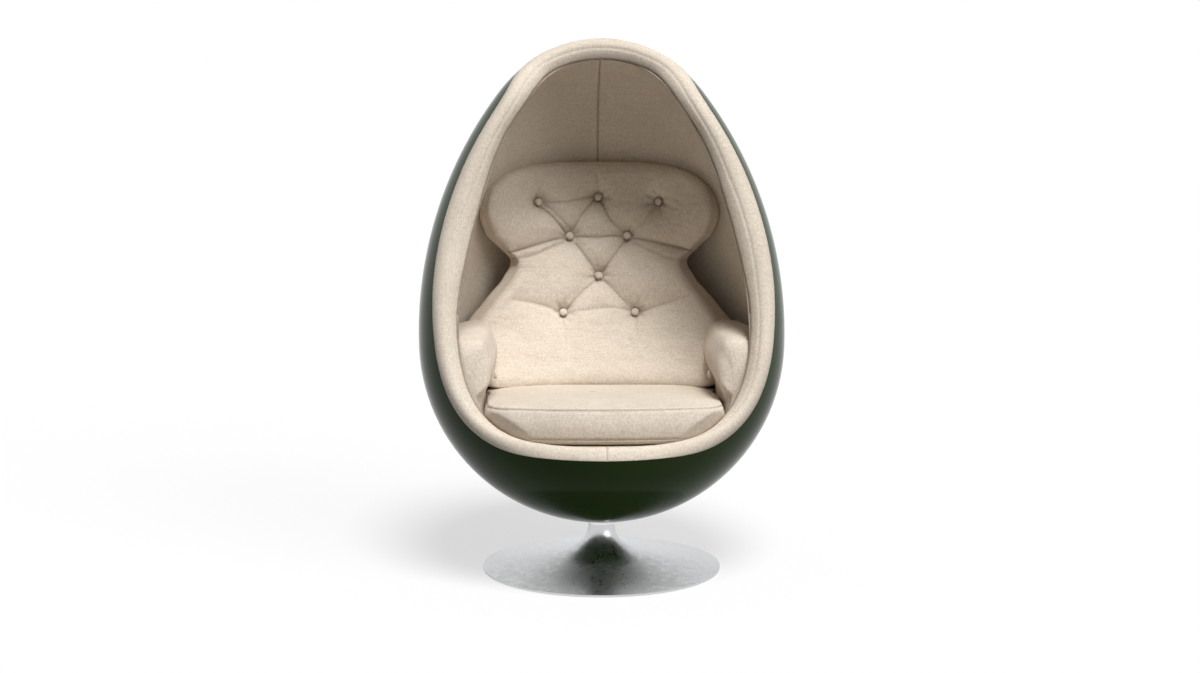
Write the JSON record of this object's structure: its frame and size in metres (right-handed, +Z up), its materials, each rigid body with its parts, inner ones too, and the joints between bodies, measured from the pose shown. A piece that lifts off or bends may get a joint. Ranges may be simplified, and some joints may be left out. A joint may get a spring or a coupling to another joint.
{
  "type": "pod chair",
  "caption": "Egg-shaped moulded lounge chair with tufted cushions inside, turning on a round trumpet base.",
  "frame": {"origin": "on the floor, where the swivel axis meets the base's felt", "axes": "+Z up along the swivel axis, the sitter faces -Y, +X is on the right of someone who looks into the pod"},
  "size_m": [0.8594, 0.8037, 1.2548],
  "materials": {
    "shell": "glossy dark olive green lacquer over moulded glass-fibre shell",
    "metal": "spun steel, fine circular brushing, satin",
    "bright": "polished, bright",
    "steel": "black phosphated steel, matt",
    "zinc": "zinc plated",
    "bearing": "ground bearing steel",
    "bronze": "plain sintered bronze",
    "nylon": "natural nylon",
    "felt": "pressed felt, dark grey",
    "ply": "bare laminated birch",
    "foam": "bare cut foam, pale cream",
    "linen": "woven linen with a slub, natural beige"
  },
  "bodies": {
    "base": {"floor_felt": "felt", "base_plate": "steel", "base_trumpet": "metal", "ballast_disc": "steel", "column_flange": "steel", "flange_screws": "zinc", "column_tube": "steel", "bearing_housing": "steel", "upper_bush": "bronze", "lower_bush": "bronze", "neck_sleeve": "nylon", "bearing_lower_washer": "bearing"},
    "bearing_cage": {"bearing_cage": "nylon", "bearing_rollers": "bearing"},
    "pod": {"bearing_upper_washer": "bearing", "spindle": "bearing", "retaining_washer": "zinc", "retaining_screw": "zinc", "collar_ring": "bright", "swivel_plate": "steel", "plate_washers": "zinc", "plate_bolts": "zinc", "threaded_inserts": "zinc", "mounting_pad": "ply", "pod_shell": "shell", "foam_bowl_left": "foam", "foam_bowl_right": "foam", "foam_hip_left": "foam", "foam_hip_right": "foam", "foam_shoulder_left": "foam", "foam_shoulder_right": "foam", "foam_hood_left": "foam", "foam_hood_right": "foam", "lining_left": "linen", "lining_right": "linen", "rim_roll": "linen", "seat_base_foam": "foam", "back_base_foam": "foam", "seat_cushion": "linen", "back_cushion": "linen", "arm_pad_left": "linen", "arm_pad_right": "linen", "back_buttons": "linen", "arm_buttons": "linen"}
  },
  "joints": [
    {"name": "swivel", "type": "hinge", "parent": "base", "child": "pod", "pos_m": [0, 0, 0], "axis": [0, 0, 1], "continuous": true},
    {"name": "cage_roll", "type": "hinge", "parent": "base", "child": "bearing_cage", "pos_m": [0, 0, 0], "axis": [0, 0, 1], "continuous": true}
  ],
  "couplings": [
    {"joint": "cage_roll", "follows": "swivel", "ratio": 0.5}
  ]
}
